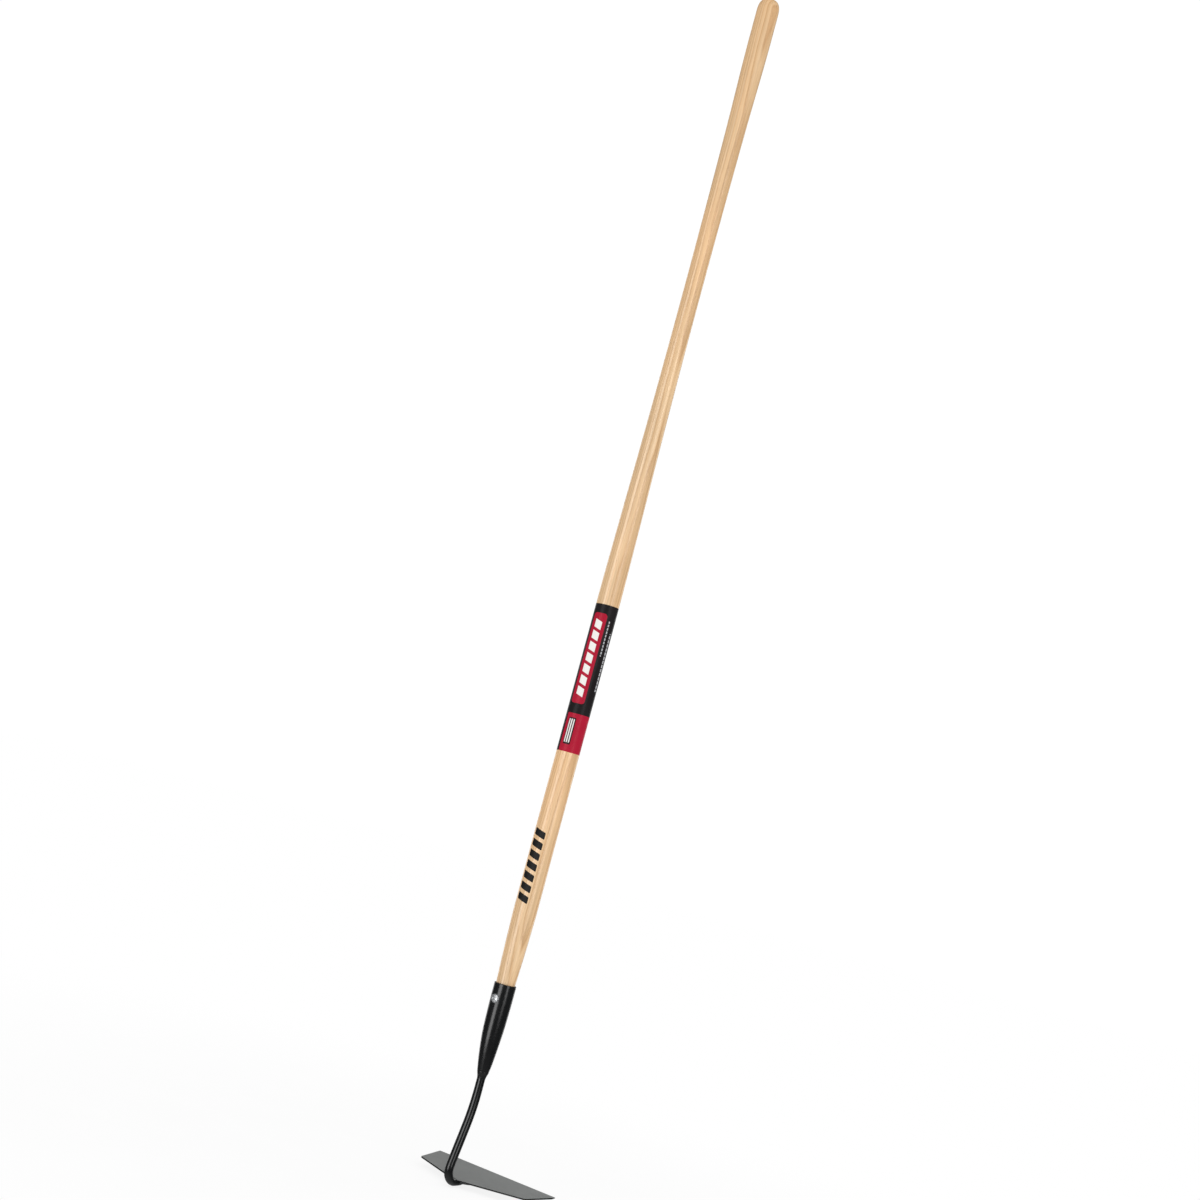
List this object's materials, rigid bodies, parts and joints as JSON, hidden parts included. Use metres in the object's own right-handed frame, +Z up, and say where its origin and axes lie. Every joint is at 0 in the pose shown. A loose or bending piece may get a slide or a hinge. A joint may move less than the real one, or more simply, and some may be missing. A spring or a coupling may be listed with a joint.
{
  "type": "draw hoe",
  "caption": "Long-handled draw hoe: turned ash handle in a riveted tapered steel socket, bent steel neck rod and a flat gabled blade welded to its foot.",
  "frame": {"origin": "on the handle's axis, at the middle of the handle's straight full-diameter grip zone", "axes": "+Z up the handle towards its free end, +X along the blade's width, +Y from the handle towards the cutting edge"},
  "size_m": [0.1808, 0.1055, 1.5166],
  "materials": {
    "ash_wood": "clear lacquered ash, straight grain, satin",
    "black_paint": "satin black enamel",
    "grey_lacquer": "clear-lacquered grey steel, satin",
    "bright_steel": "bright zinc-plated steel",
    "label_film": "printed plastic film, black and crimson, satin gloss"
  },
  "bodies": {
    "root": {"handle": "ash_wood", "socket": "black_paint", "gooseneck": "black_paint", "socket_weld": "black_paint", "blade_weld": "black_paint", "blade": "grey_lacquer", "rivet": "bright_steel", "label": "label_film"}
  },
  "joints": []
}
